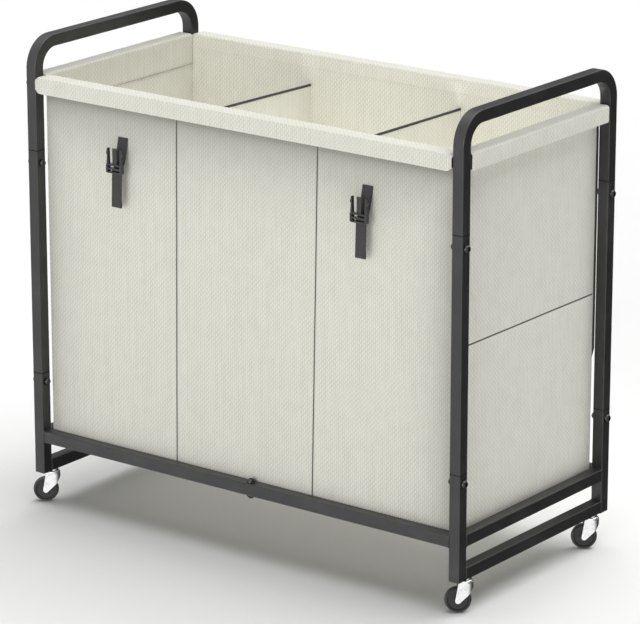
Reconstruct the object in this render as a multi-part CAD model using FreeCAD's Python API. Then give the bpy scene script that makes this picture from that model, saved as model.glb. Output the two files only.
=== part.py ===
import FreeCAD, Part
import math
import os

from FreeCAD import Vector

# A three-compartment laundry sorter on swivel casters.
# Millimetres, +X to the right, +Y to the back, +Z up.
# The origin is on the floor, under the middle of the frame.

# ---- frame ----
frame_width = 771.6          # over the outer faces of the uprights
frame_depth = 374.6
handle_top = 713.2
tube = 18.0                  # square tube over its coating
wall = 1.2
tube_corner = 1.7
leg_bottom = 52.0
rail_bottom = 100.6          # front and rear rails, and the upper side bars
low_joint = 208.0            # seam between leg and upright
mid_joint = 547.0            # seam between upright and handle
handle_bend = 46.0           # outer radius of the handle's corners
top_rail_level = 646.0       # middle of the rails that carry the bag
top_tube = 16.5              # those rails are a size smaller

# ---- fasteners ----
bolt_radius = 3.0
bolt_hole = 3.15
head_radius = 6.0
head_height = 5.8
nut_extra = 0.8
low_bolt_drop = 13.5         # from a seam down to its bolt
mid_bolt_drop = 19.0
spigot_gap = 0.1
spigot_length = 56.0
spigot_drop = 2.0
rail_bolt_offset = 16.0      # from the rail's middle seam to its bolt
plug_length = 15.0
block_chamfer = 0.6

# ---- bag ----
bag_side_inset = 19.8        # bag's side faces inside the frame's outer faces
bag_front_inset = 18.8
panel = 3.0                  # two cloth layers and a board
board = 1.8
bag_bottom_level = 105.0
cloth = 1.2
bottom_board = 2.5
bottom_board_gap = 1.5
hem_bottom = 634.0
hem_top = 659.0
hem_cloth = 1.5
hem_edge = 3.4
hem_hollow_edge = 1.8
front_hem_proud = 3.7
side_hem_proud = 2.0
hem_end_gap = 0.6
rear_hem_gap = 5.2           # between a side hem's back end and the rear upright
board_top = 630.0
seam_half = 3.0
side_fold = 380.0            # fold line between a side panel's two boards
fold_half = 2.0
# each divider leans a little: x and height of its upper edge at the front and rear wall
divider_front = {"left": (-125.0, 627.0), "right": (126.0, 618.5)}
divider_rear = {"left": (-139.0, 613.0), "right": (132.0, 616.5)}
binding_width = 3.8
binding_height = 3.4
binding_over = 0.5

# ---- straps ----
strap_width = 17.5
strap_thick = 1.2
strap_x = {"left": -219.5, "right": 215.0}
strap_top = 587.0
strap_bottom = 487.0
strap_reach = 17.0           # how far the tail hangs in front of the bag
buckle_width = 29.0
buckle_front = 3.6           # buckle's faces in front of and behind the tail
buckle_back = 3.2
buckle_low = 537.0
buckle_shoulder = 551.0
buckle_tip = 573.5
buckle_shift = -1.8          # buckle's middle from the strap's
slot_height = 3.0
slot_width = 21.6
slot_gap = 0.35

# ---- casters ----
wheel_radius = 19.0
wheel_width = 13.0
hub_radius = 6.0
rim_inner = 14.0
web_depth = 2.2
caster_inset_y = 29.3        # swivel axis from the frame's front or rear face
caster_trail = 10.5
caster_heading = 218.0       # direction in which the wheels trail, degrees from +X
axle_radius = 2.5
axle_head = 3.4
axle_head_height = 0.9
king_pin_radius = 2.9
king_pin_head = 4.6
king_pin_head_height = 2.2
running_gap = 0.06
swivel_gap = 0.3
fork_plate = 1.5
fork_half_gap = 7.5
fork_nose = -11.0
fork_eye = 4.0
fork_roof_low = 44.5
fork_roof_high = 46.3
fork_cap_high = 49.0
fork_cap_radius = 10.2
collar_radius = 8.0
stem_radius = 4.0
stem_length = 11.0
stem_nut_radius = 6.4
stem_nut_height = 6.5

# ---- worked out ----
half_w = frame_width / 2
half_d = frame_depth / 2
half_tube = tube / 2
post_x = half_w - half_tube
post_y = half_d - half_tube
inner_x = half_w - tube
inner_y = half_d - tube
spigot = tube - 2 * wall - 2 * spigot_gap
top_spigot = top_tube - 2 * wall - 2 * spigot_gap
rail_level = rail_bottom + half_tube
bag_x = half_w - bag_side_inset
bag_y = half_d - bag_front_inset
wall_top = hem_top - hem_edge
fork_half = fork_half_gap + fork_plate

sides = {"left": -1, "right": 1}
ends = {"front": -1, "rear": 1}
corners = [(end, side) for end in ends for side in sides]


def box(x0, x1, y0, y1, z0, z1):
    low = Vector(min(x0, x1), min(y0, y1), min(z0, z1))
    return Part.makeBox(abs(x1 - x0), abs(y1 - y0), abs(z1 - z0), low)


def rod(radius, start, axis, length):
    return Part.makeCylinder(radius, length, Vector(*start), Vector(*axis))


def line(a, b):
    return Part.LineSegment(a, b).toShape()


def arc(a, b, c):
    return Part.Arc(a, b, c).toShape()


def long_edges(shape, direction):
    # straight edges of a shape that run along one axis
    way = Vector(*direction)
    found = []
    for edge in shape.Edges:
        if isinstance(edge.Curve, Part.Line) and abs(edge.tangentAt(edge.FirstParameter).dot(way)) > 0.999:
            found.append(edge)
    return found


# ---- frame tubes ----

def square_tube(x0, x1, y0, y1, z0, z1, direction):
    # hollow tube with rounded corners; direction is the axis it runs along
    outer = box(x0, x1, y0, y1, z0, z1)
    outer = outer.makeFillet(tube_corner, long_edges(outer, direction))
    dx, dy, dz = [0 if along else wall for along in direction]
    return outer.cut(box(x0 + dx, x1 - dx, y0 + dy, y1 - dy, z0 + dz, z1 - dz))


def post(end, side, z0, z1):
    x = sides[side] * post_x
    y = ends[end] * post_y
    return square_tube(x - half_tube, x + half_tube, y - half_tube, y + half_tube, z0, z1, (0, 0, 1))


def bar_x(x0, x1, y, z, size):
    half = size / 2
    return square_tube(x0, x1, y - half, y + half, z - half, z + half, (1, 0, 0))


def bar_y(y0, y1, x, z, size):
    half = size / 2
    return square_tube(x - half, x + half, y0, y1, z - half, z + half, (0, 1, 0))


def hole_x(end, side, z):
    # a bolt hole right through an upright, side to side
    return rod(bolt_hole, (sides[side] * post_x - tube, ends[end] * post_y, z), (1, 0, 0), 2 * tube)


def leg(end, side):
    shape = post(end, side, leg_bottom, low_joint)
    return shape.cut(hole_x(end, side, low_joint - low_bolt_drop))


def upright(end, side):
    shape = post(end, side, low_joint, mid_joint)
    return shape.cut(hole_x(end, side, mid_joint - mid_bolt_drop))


def arch(x0, x1, half, top, radius):
    # solid inverted U with round shoulders, from the handle's foot up
    lean = radius * math.sqrt(0.5)
    level = top - radius
    near = half - radius
    a = Vector(x0, -half, mid_joint)
    b = Vector(x0, -half, level)
    c = Vector(x0, -near - lean, level + lean)
    d = Vector(x0, -near, top)
    e = Vector(x0, near, top)
    f = Vector(x0, near + lean, level + lean)
    g = Vector(x0, half, level)
    h = Vector(x0, half, mid_joint)
    edges = [line(a, b), arc(b, c, d), line(d, e), arc(e, f, g), line(g, h), line(h, a)]
    return Part.Face(Part.Wire(edges)).extrude(Vector(x1 - x0, 0, 0))


def handle(side):
    # one bent tube: outer arch less inner arch, then hollowed
    x0 = sides[side] * post_x - half_tube
    x1 = x0 + tube
    shape = arch(x0, x1, half_d, handle_top, handle_bend)
    shape = shape.cut(arch(x0, x1, inner_y, handle_top - tube, handle_bend - tube))
    flat = [e for e in shape.Edges if e.BoundBox.XLength < 1e-6]
    shape = shape.makeFillet(tube_corner, [e for e in flat if e.BoundBox.DiagonalLength > 1.5 * tube])
    core = arch(x0 + wall, x1 - wall, half_d - wall, handle_top - wall, handle_bend - wall)
    bend = handle_bend - tube + wall
    core = core.cut(arch(x0 + wall, x1 - wall, inner_y + wall, handle_top - tube + wall, bend))
    shape = shape.cut(core)
    if side == "left":
        for end in ends:
            shape = shape.cut(hole_x(end, side, top_rail_level))
    return shape


def leg_end_plugs():
    # plastic plugs that close the legs' lower ends
    h = spigot / 2
    parts = []
    for end, side in corners:
        x = sides[side] * post_x
        y = ends[end] * post_y
        block = box(x - h, x + h, y - h, y + h, leg_bottom, leg_bottom + plug_length)
        parts.append(block.makeChamfer(block_chamfer, long_edges(block, (0, 0, 1))))
    return parts


def side_bar(side, z, size):
    return bar_y(-inner_y, inner_y, sides[side] * post_x, z, size)


def lower_bar(side):
    # the casters' stems enter through its underside
    shape = side_bar(side, leg_bottom + half_tube, tube)
    for end in ends:
        x, y = caster_centre(end, side)
        shape = shape.cut(rod(stem_radius + spigot_gap, (x, y, leg_bottom - 1), (0, 0, 1), wall + 2))
    return shape


def rail_half(end, side):
    # half of a bottom rail; the right half has the bolt beside the seam
    y = ends[end] * post_y
    x0, x1 = sorted((0, sides[side] * inner_x))
    shape = bar_x(x0, x1, y, rail_level, tube)
    if side == "right":
        shape = shape.cut(rod(bolt_hole, (rail_bolt_offset, y, rail_level - tube), (0, 0, 1), 2 * tube))
    return shape


# ---- joints and fasteners ----

def spigot_block(centre, direction, bolt_at, bolt_axis):
    # short hollow tube inside a joint, with one bolt hole
    x, y, z = centre
    dx, dy, dz = [spigot_length / 2 if along else spigot / 2 for along in direction]
    outer = box(x - dx, x + dx, y - dy, y + dy, z - dz, z + dz)
    outer = outer.makeChamfer(block_chamfer, long_edges(outer, direction))
    dx, dy, dz = [d if along else d - wall for d, along in zip((dx, dy, dz), direction)]
    hollow = box(x - dx, x + dx, y - dy, y + dy, z - dz, z + dz)
    start = [p - tube * a for p, a in zip(bolt_at, bolt_axis)]
    return outer.cut(hollow).cut(rod(bolt_hole, start, bolt_axis, 2 * tube))


def joint_spigots():
    parts = []
    for end, side in corners:
        x = sides[side] * post_x
        y = ends[end] * post_y
        for seam, drop in ((low_joint, low_bolt_drop), (mid_joint, mid_bolt_drop)):
            parts.append(spigot_block((x, y, seam - spigot_drop), (0, 0, 1), (x, y, seam - drop), (1, 0, 0)))
    for end in ends:
        y = ends[end] * post_y
        bolt_at = (rail_bolt_offset, y, rail_level)
        parts.append(spigot_block((0, y, rail_level), (1, 0, 0), bolt_at, (0, 0, 1)))
    return parts


def dome(radius, height, start, axis):
    # button head: a ball cap on a short rim
    rim = height * 0.3
    rise = height - rim
    ball = (radius ** 2 + rise ** 2) / (2 * rise)
    top = Vector(*start) + Vector(*axis) * rim
    cap = Part.makeSphere(ball, top - Vector(*axis) * (ball - rise))
    cap = cap.common(rod(radius, tuple(top), axis, rise + 1))
    return rod(radius, start, axis, rim).fuse(cap).removeSplitter()


def bolt(start, axis, shank):
    # start is under the head; axis points along the shank
    back = tuple(-a for a in axis)
    head = dome(head_radius, head_height, start, back)
    return head.fuse(rod(bolt_radius, start, axis, shank)).removeSplitter()


def cap_nut(start, axis):
    # domed nut seated at start, its crown pointing along axis
    shape = dome(head_radius, head_height + nut_extra, start, axis)
    return shape.cut(rod(bolt_radius + spigot_gap, start, axis, head_height * 0.75))


def through_bolt_sites():
    # where each through bolt's head sits, and its axis
    sites = []
    for end, side in corners:
        for z in (low_joint - low_bolt_drop, mid_joint - mid_bolt_drop):
            sites.append(((sides[side] * half_w, ends[end] * post_y, z), (-sides[side], 0, 0)))
    for end in ends:
        sites.append(((rail_bolt_offset, ends[end] * post_y, rail_bottom + tube), (0, 0, -1)))
    return sites


def through_bolts():
    return [bolt(at, axis, tube + head_height * 0.7) for at, axis in through_bolt_sites()]


def cap_nuts():
    nuts = []
    for at, axis in through_bolt_sites():
        far = tuple(p + a * tube for p, a in zip(at, axis))
        nuts.append(cap_nut(far, axis))
    return nuts


def top_rail_bolts():
    # screwed through the left handle into the front and rear top rails
    length = tube + plug_length - 2
    return [bolt((-half_w, ends[end] * post_y, top_rail_level), (1, 0, 0), length) for end in ends]


def top_rail_plugs():
    # blocks inside the top rails' ends: the bolts screw into the left ones,
    # and the right ones are stubs fixed to the right handle
    plugs = []
    h = top_spigot / 2
    z = top_rail_level
    for end, side in corners:
        x = sides[side] * inner_x
        y = ends[end] * post_y
        block = box(x, x - sides[side] * plug_length, y - h, y + h, z - h, z + h)
        block = block.makeChamfer(block_chamfer, long_edges(block, (1, 0, 0)))
        if side == "left":
            block = block.cut(rod(bolt_radius + spigot_gap, (x, y, z), (1, 0, 0), plug_length))
        plugs.append(block)
    return plugs


# ---- casters ----
# Each piece is made with the swivel axis on Z and the wheel trailing along +X.

def caster_centre(end, side):
    return sides[side] * post_x, ends[end] * (half_d - caster_inset_y)


def turned(shape, end, side):
    x, y = caster_centre(end, side)
    shape.rotate(Vector(0, 0, 0), Vector(0, 0, 1), caster_heading)
    shape.translate(Vector(x, y, 0))
    return shape


def caster_stem():
    # threaded stem, collar and king pin turned from one bar
    head = fork_roof_low - swivel_gap - king_pin_head_height
    collar = fork_cap_high + swivel_gap
    shape = rod(king_pin_radius, (0, 0, head), (0, 0, 1), leg_bottom - head)
    shape = shape.fuse(rod(king_pin_head, (0, 0, head), (0, 0, 1), king_pin_head_height))
    shape = shape.fuse(rod(collar_radius, (0, 0, collar), (0, 0, 1), leg_bottom - collar))
    shape = shape.fuse(rod(stem_radius, (0, 0, collar), (0, 0, 1), leg_bottom - collar + stem_length))
    return shape.removeSplitter()


def stem_nut():
    # weld nut inside the side bar, on its lower wall
    z = leg_bottom + wall
    shape = rod(stem_nut_radius, (0, 0, z), (0, 0, 1), stem_nut_height)
    return shape.cut(rod(stem_radius + spigot_gap, (0, 0, z), (0, 0, 1), stem_nut_height))


def fork_plan(half):
    # plan of the pressed fork: a U round the front of the wheel
    back = caster_trail + fork_eye + 1
    nose = fork_nose + fork_half - half
    start = nose + half
    a = Vector(back, -half, 0)
    b = Vector(start, -half, 0)
    c = Vector(start, half, 0)
    d = Vector(back, half, 0)
    edges = [line(a, b), arc(b, Vector(nose, 0, 0), c), line(c, d), line(d, a)]
    return Part.Face(Part.Wire(edges))


def around_axle(degrees):
    turn = math.radians(degrees)
    x = caster_trail + fork_eye * math.cos(turn)
    return Vector(x, -fork_half, wheel_radius + fork_eye * math.sin(turn))


def fork_side():
    # side view of the fork: wide under the roof, narrowing to the axle
    skirt = fork_roof_high - 6
    top_front = Vector(fork_nose - 1, -fork_half, fork_roof_high)
    low_front = Vector(fork_nose - 1, -fork_half, skirt)
    knee = Vector(fork_nose + 4.5, -fork_half, wheel_radius + 11)
    top_back = Vector(caster_trail - 0.5, -fork_half, fork_roof_high)
    edges = [
        line(top_front, low_front),
        line(low_front, knee),
        line(knee, around_axle(225)),
        arc(around_axle(225), around_axle(295), around_axle(5)),
        line(around_axle(5), top_back),
        line(top_back, top_front),
    ]
    return Part.Face(Part.Wire(edges)).extrude(Vector(0, 2 * fork_half, 0))


def fork():
    skirt = fork_plan(fork_half).extrude(Vector(0, 0, fork_roof_high))
    inside = fork_plan(fork_half_gap).extrude(Vector(0, 0, fork_roof_low))
    shape = skirt.common(fork_side()).cut(inside)
    cap = rod(fork_cap_radius, (0, 0, fork_roof_low), (0, 0, 1), fork_cap_high - fork_roof_low)
    rim = [e for e in cap.Edges if abs(e.BoundBox.ZMin - fork_cap_high) < 1e-4]
    shape = shape.fuse(cap.makeFillet(2.0, rim))
    shape = shape.cut(rod(king_pin_radius + running_gap, (0, 0, 0), (0, 0, 1), leg_bottom))
    start = (caster_trail, -2 * fork_half, wheel_radius)
    shape = shape.cut(rod(axle_radius + running_gap, start, (0, 1, 0), 4 * fork_half))
    return shape.removeSplitter()


def axle():
    # rivet through both fork legs, with a low head each side
    far = fork_half + axle_head_height
    shape = rod(axle_radius, (caster_trail, -far, wheel_radius), (0, 1, 0), 2 * far)
    for y in (-far, fork_half):
        shape = shape.fuse(rod(axle_head, (caster_trail, y, wheel_radius), (0, 1, 0), axle_head_height))
    return shape.removeSplitter()


def wheel():
    # one moulded wheel: crowned tread, raised rim, dished web and hub
    half = wheel_width / 2
    hub = fork_half_gap - 0.35
    bore = axle_radius + running_gap
    web = half - web_depth
    shoulder = half - 0.4
    profile = [(bore, hub), (hub_radius, hub), (hub_radius, web), (rim_inner, web)]
    profile += [(rim_inner + 0.8, shoulder), (wheel_radius - 1.8, shoulder)]
    near = [Vector(caster_trail + r, y, wheel_radius) for r, y in profile]
    far = [Vector(caster_trail + r, -y, wheel_radius) for r, y in reversed(profile)]
    edges = [line(p, q) for p, q in zip(near, near[1:])]
    edges.append(arc(near[-1], Vector(caster_trail + wheel_radius, 0, wheel_radius), far[0]))
    edges += [line(p, q) for p, q in zip(far, far[1:])]
    edges.append(line(far[-1], near[0]))
    face = Part.Face(Part.Wire(edges))
    return face.revolve(Vector(caster_trail, 0, wheel_radius), Vector(0, 1, 0), 360)


# ---- bag ----

def wall_board_spans(end):
    # three boards across a front or rear panel, parted by the dividers' seams
    edge = bag_x - 8
    seams = divider_front if end == "front" else divider_rear
    left = seams["left"][0]
    right = seams["right"][0]
    return [(-edge, left - seam_half), (left + seam_half, right - seam_half), (right + seam_half, edge)]


def wall_board(end, x0, x1):
    # its pocket is open at the bottom
    y = ends[end] * (bag_y - panel / 2)
    return box(x0, x1, y - board / 2, y + board / 2, bag_bottom_level, board_top)


def bag_wall(end):
    y = ends[end] * bag_y
    shape = box(-bag_x, bag_x, y, y - ends[end] * panel, bag_bottom_level, wall_top)
    for x0, x1 in wall_board_spans(end):
        shape = shape.cut(wall_board(end, x0, x1))
    return shape


def side_board_spans():
    # the lower pocket opens downwards, the upper one at the hem
    return [(bag_bottom_level, side_fold - fold_half), (side_fold + fold_half, wall_top)]


def side_board(side, z0, z1):
    x = sides[side] * (bag_x - panel / 2)
    y = bag_y - panel - 4
    return box(x - board / 2, x + board / 2, -y, y, z0, z1)


def bag_side(side):
    x = sides[side] * bag_x
    y = bag_y - panel
    shape = box(x, x - sides[side] * panel, -y, y, bag_bottom_level, wall_top)
    for z0, z1 in side_board_spans():
        shape = shape.cut(side_board(side, z0, z1))
    return shape


def bag_bottom():
    x = bag_x - panel
    y = bag_y - panel
    return box(-x, x, -y, y, bag_bottom_level, bag_bottom_level + cloth)


def divider_edge(side, y):
    # point on a divider's upper edge, which leans from its front seam to its rear one
    share = 0.5 + y / (2 * (bag_y - panel))
    (x0, z0), (x1, z1) = divider_front[side], divider_rear[side]
    return Vector(x0 + share * (x1 - x0), y, z0 + share * (z1 - z0))


def divider_slab(side, thick, inset, rise):
    # upright slab in a divider's plane, from the bag's floor to its upper edge
    y = bag_y - panel - inset
    low = bag_bottom_level + cloth
    shift = Vector(-thick / 2, 0, rise)
    front = divider_edge(side, -y) + shift
    rear = divider_edge(side, y) + shift
    loop = [Vector(front.x, front.y, low), Vector(rear.x, rear.y, low), rear, front]
    return Part.Face(Part.makePolygon(loop + loop[:1])).extrude(Vector(thick, 0, 0))


def divider_board(side):
    return divider_slab(side, board, 6, -8)


def divider(side):
    return divider_slab(side, panel, 0, -1).cut(divider_board(side))


def binding(side):
    # folded tape over the divider's upper edge
    tape = divider_slab(side, binding_width, 0, binding_over)
    tape = tape.cut(divider_slab(side, 2 * binding_width, 0, binding_over - binding_height))
    return tape.cut(divider_slab(side, panel, 0, -1))


def floor_board(left, right):
    # left and right are its edges' x at the front and at the rear
    y = bag_y - panel - bottom_board_gap
    z = bag_bottom_level + cloth
    plan = [(left[0], -y), (right[0], -y), (right[1], y), (left[1], y)]
    loop = [Vector(x, y, z) for x, y in plan]
    return Part.Face(Part.makePolygon(loop + loop[:1])).extrude(Vector(0, 0, bottom_board))


def bottom_boards():
    # a loose board on the floor of each compartment, cut to its plan
    x = bag_x - panel - bottom_board_gap
    y = bag_y - panel - bottom_board_gap
    clear = panel / 2 + bottom_board_gap
    edges = [(-x, -x)]
    for side in sides:
        front = divider_edge(side, -y).x
        rear = divider_edge(side, y).x
        edges += [(front - clear, rear - clear), (front + clear, rear + clear)]
    edges.append((x, x))
    return [floor_board(edges[i], edges[i + 1]) for i in (0, 2, 4)]


def panel_boards():
    parts = [wall_board(end, x0, x1) for end in ends for x0, x1 in wall_board_spans(end)]
    parts += [side_board(side, z0, z1) for side in sides for z0, z1 in side_board_spans()]
    parts += [divider_board(side) for side in sides]
    return parts


def hem(x0, x1, y0, y1, direction):
    # cloth sleeve round a top rail, open at both ends
    x0, x1 = sorted((x0, x1))
    y0, y1 = sorted((y0, y1))
    outer = box(x0, x1, y0, y1, hem_bottom, hem_top)
    outer = outer.makeFillet(hem_edge, long_edges(outer, direction))
    dx, dy, dz = [0 if along else hem_cloth for along in direction]
    hollow = box(x0 + dx, x1 - dx, y0 + dy, y1 - dy, hem_bottom + dz, hem_top - dz)
    return outer.cut(hollow.makeFillet(hem_hollow_edge, long_edges(hollow, direction)))


def long_hem(end):
    x = inner_x - hem_end_gap
    return hem(-x, x, ends[end] * (half_d + front_hem_proud), ends[end] * bag_y, (1, 0, 0))


def short_hem(side):
    y0 = hem_end_gap - bag_y
    y1 = inner_y - rear_hem_gap
    return hem(sides[side] * (half_w + side_hem_proud), sides[side] * bag_x, y0, y1, (0, 1, 0))


# ---- straps ----

def rounded_path(points, radii):
    # straight runs joined by tangent arcs
    edges = []
    start = points[0]
    for before, corner, after, radius in zip(points, points[1:], points[2:], radii):
        a = (before - corner).normalize()
        b = (after - corner).normalize()
        half = a.getAngle(b) / 2
        centre = corner + (a + b).normalize() * (radius / math.sin(half))
        p = corner + a * (radius / math.tan(half))
        q = corner + b * (radius / math.tan(half))
        edges.append(line(start, p))
        edges.append(arc(p, centre + (corner - centre).normalize() * radius, q))
        start = q
    edges.append(line(start, points[-1]))
    return Part.Wire(edges)


def strap_band(thick, width, lift):
    # webbing sewn flat at its top, bowed out to the buckle, its tail hanging
    back = -bag_y - lift
    tail = back - strap_reach
    points = [
        Vector(0, back, strap_top),
        Vector(0, back, strap_top - 37),
        Vector(0, tail + buckle_back, buckle_shoulder - 6),
        Vector(0, tail, buckle_low + 5),
        Vector(0, tail, strap_bottom),
    ]
    path = rounded_path(points, [8.0, 3.0, 3.0])
    band = path.makeOffset2D(thick, 0, True, True, False)
    shape = band.extrude(Vector(width, 0, 0))
    shape.translate(Vector(-width / 2, 0, 0))
    return shape


def strap(side):
    shape = strap_band(strap_thick, strap_width, 0)
    shape.translate(Vector(strap_x[side], 0, 0))
    return shape


def prong(way):
    # springy side prong with a barbed tip
    y = -bag_y - strap_reach - strap_thick
    outer = buckle_width / 2
    points = [
        (outer - 0.4, buckle_shoulder - 1),
        (outer - 1.6, buckle_shoulder + 12),
        (outer, buckle_shoulder + 15),
        (outer - 1.8, buckle_tip),
        (outer - 3.8, buckle_tip),
        (outer - 4.4, buckle_shoulder - 1),
    ]
    loop = [Vector(way * x, y - 1.8, z) for x, z in points]
    return Part.Face(Part.makePolygon(loop + loop[:1])).extrude(Vector(0, 4.0, 0))


def buckle(side):
    # plug half of a side-release buckle, prongs up, with two webbing slots
    tail = -bag_y - strap_reach - strap_thick / 2
    half = buckle_width / 2
    body = box(-half, half, tail - buckle_front, tail + buckle_back, buckle_low, buckle_shoulder)
    body = body.makeFillet(2.2, long_edges(body, (0, 1, 0)))
    body = body.makeFillet(0.8, long_edges(body, (1, 0, 0)))
    for z in (buckle_low + 2.6, buckle_shoulder - 2.6 - slot_height):
        deep = 2 * buckle_front
        body = body.cut(box(-slot_width / 2, slot_width / 2, tail - deep, tail + deep, z, z + slot_height))
    centre = box(-4.0, 4.0, tail - 1.6, tail + 1.6, buckle_shoulder - 1, buckle_tip)
    centre = centre.makeFillet(0.9, long_edges(centre, (0, 0, 1)))
    body = body.fuse([centre, prong(-1), prong(1)])
    body = body.cut(strap_band(strap_thick + 2 * slot_gap, slot_width, -slot_gap))
    body.translate(Vector(strap_x[side] + buckle_shift, 0, 0))
    return body


# ---- all the pieces ----

def build():
    nodes = {}
    for end, side in corners:
        nodes[f"{end}_{side}_leg"] = [leg(end, side)]
        nodes[f"{end}_{side}_upright"] = [upright(end, side)]
        nodes[f"{end}_rail_{side}"] = [rail_half(end, side)]
        nodes[f"{end}_{side}_fork"] = [turned(fork(), end, side)]
        nodes[f"{end}_{side}_axle"] = [turned(axle(), end, side)]
        nodes[f"{end}_{side}_wheel"] = [turned(wheel(), end, side)]
    for side in sides:
        nodes[f"{side}_handle"] = [handle(side)]
        nodes[f"{side}_lower_bar"] = [lower_bar(side)]
        nodes[f"{side}_upper_bar"] = [side_bar(side, rail_level, tube)]
        nodes[f"{side}_top_rail"] = [side_bar(side, top_rail_level, top_tube)]
        nodes[f"bag_{side}_panel"] = [bag_side(side)]
        nodes[f"{side}_divider"] = [divider(side)]
        nodes[f"{side}_hem"] = [short_hem(side)]
        nodes[f"{side}_strap"] = [strap(side)]
        nodes[f"{side}_buckle"] = [buckle(side)]
    for end in ends:
        y = ends[end] * post_y
        nodes[f"{end}_top_rail"] = [bar_x(-inner_x, inner_x, y, top_rail_level, top_tube)]
        nodes[f"bag_{end}_panel"] = [bag_wall(end)]
        nodes[f"{end}_hem"] = [long_hem(end)]
    nodes["leg_end_plugs"] = leg_end_plugs()
    nodes["joint_spigots"] = joint_spigots()
    nodes["through_bolts"] = through_bolts()
    nodes["cap_nuts"] = cap_nuts()
    nodes["top_rail_bolts"] = top_rail_bolts()
    nodes["top_rail_plugs"] = top_rail_plugs()
    nodes["caster_stems"] = [turned(caster_stem(), end, side) for end, side in corners]
    nodes["stem_nuts"] = [turned(stem_nut(), end, side) for end, side in corners]
    nodes["bag_bottom"] = [bag_bottom()]
    nodes["bottom_boards"] = bottom_boards()
    nodes["panel_boards"] = panel_boards()
    nodes["divider_bindings"] = [binding(side) for side in sides]
    return nodes


def main():
    os.makedirs("parts", exist_ok=True)
    for name, pieces in build().items():
        solids = [solid for piece in pieces for solid in piece.Solids]
        shape = solids[0] if len(solids) == 1 else Part.makeCompound(solids)
        shape.exportStep(f"parts/{name}.step")
        print(name, len(solids), "solids", round(shape.Volume / 1000, 2), "cm3")


if __name__ == "__main__":
    main()
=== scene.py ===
import math

import bmesh
import bpy
import numpy as np
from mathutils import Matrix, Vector, noise


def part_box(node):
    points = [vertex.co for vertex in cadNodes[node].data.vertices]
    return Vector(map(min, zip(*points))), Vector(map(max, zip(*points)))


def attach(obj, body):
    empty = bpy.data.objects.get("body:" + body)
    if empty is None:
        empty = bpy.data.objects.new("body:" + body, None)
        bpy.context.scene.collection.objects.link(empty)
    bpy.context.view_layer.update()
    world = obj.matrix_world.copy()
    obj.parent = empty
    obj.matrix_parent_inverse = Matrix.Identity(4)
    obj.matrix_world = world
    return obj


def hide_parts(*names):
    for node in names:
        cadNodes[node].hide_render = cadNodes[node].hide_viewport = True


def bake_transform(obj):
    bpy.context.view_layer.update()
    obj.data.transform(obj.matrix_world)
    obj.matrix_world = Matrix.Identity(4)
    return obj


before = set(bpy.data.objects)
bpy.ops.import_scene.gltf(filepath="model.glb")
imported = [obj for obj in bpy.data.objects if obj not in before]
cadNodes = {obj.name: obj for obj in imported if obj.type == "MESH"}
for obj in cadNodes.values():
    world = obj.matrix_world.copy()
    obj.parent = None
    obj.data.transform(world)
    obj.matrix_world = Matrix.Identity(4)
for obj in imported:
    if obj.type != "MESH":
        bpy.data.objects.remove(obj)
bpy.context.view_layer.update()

mainBody = "frame_and_bag"
mm = 0.001
sides = {"left": -1, "right": 1}
ends = {"front": -1, "rear": 1}
corners = [(end, side) for end in ends for side in sides]
print("frame loaded with", len(cadNodes), "nodes")


# A laundry sorter on casters: a black square-tube frame that carries a stiff cloth bag.
# Lengths in the dictionaries are millimetres; makePiece turns them into metres.

class Wire:
    # one output of a shader node; sums written on it add Math nodes
    def __init__(self, finish, socket):
        self.finish = finish
        self.socket = socket

    def maths(self, operation, first, second=0.0):
        return self.finish.add("Math", {"operation": operation}, {0: first, 1: second})

    def __add__(self, other):
        return self.maths("ADD", self, other)

    __radd__ = __add__

    def __sub__(self, other):
        return self.maths("SUBTRACT", self, other)

    def __rsub__(self, other):
        return self.maths("SUBTRACT", other, self)

    def __mul__(self, other):
        return self.maths("MULTIPLY", self, other)

    __rmul__ = __mul__

    def __truediv__(self, other):
        return self.maths("DIVIDE", self, other)

    def floor(self):
        return self.maths("FLOOR", self)

    def frac(self):
        return self.maths("FRACT", self)

    def size(self):
        return self.maths("ABSOLUTE", self)

    def wave(self, pitch):
        # 0 to 1 and back once every pitch metres
        return self.maths("SINE", self * (2 * math.pi / pitch)) * 0.5 + 0.5

    def fade(self, start, end):
        # 0 at start, 1 at end, eased
        values = {"Value": self, "From Min": start, "From Max": end}
        return self.finish.add("MapRange", {"interpolation_type": "SMOOTHSTEP"}, values)


class Finish:
    # one material; steady values go straight onto the shader's sockets
    def __init__(self, name, steady):
        self.material = bpy.data.materials.new(name)
        self.material.use_nodes = True
        self.tree = self.material.node_tree
        self.shader = self.tree.nodes["Principled BSDF"]
        for socket, value in steady.items():
            self.shader.inputs[socket].default_value = value

    def add(self, kind, settings, values, output=0):
        node = self.tree.nodes.new("ShaderNode" + kind)
        for name, value in settings.items():
            setattr(node, name, value)
        for name, value in values.items():
            self.join(value, node.inputs[name])
        return Wire(self, node.outputs[output])

    def join(self, value, socket):
        if isinstance(value, Wire):
            self.tree.links.new(value.socket, socket)
        else:
            socket.default_value = value

    def paint(self, socket, value):
        self.join(value, self.shader.inputs[socket])

    def place(self):
        # position on the piece, in its own frame
        return self.add("TexCoord", {}, {}, output=3)

    def parts(self, vector):
        return [self.add("SeparateXYZ", {}, {0: vector}, output=axis) for axis in range(3)]

    def weave(self):
        # across the cloth, up the cloth, and a third value: on cloth, how near a seam plus any painted
        # shade; on tapes, how near an edge
        return self.parts(self.add("Attribute", {"attribute_name": "weave"}, {}, output=1))

    def cloud(self, where, scale, detail=2.0):
        return self.add("TexNoise", {}, {"Vector": where, "Scale": scale, "Detail": detail})

    def stretch(self, where, amounts):
        return self.add("VectorMath", {"operation": "MULTIPLY"}, {0: where, 1: amounts})

    def blend(self, share, first, second):
        settings = {"data_type": "RGBA"}
        return self.add("Mix", settings, {0: share, 6: first, 7: second}, output=2)

    def bump(self, height, depth):
        self.paint("Normal", self.add("Bump", {}, {"Height": height, "Distance": depth}))
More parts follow.
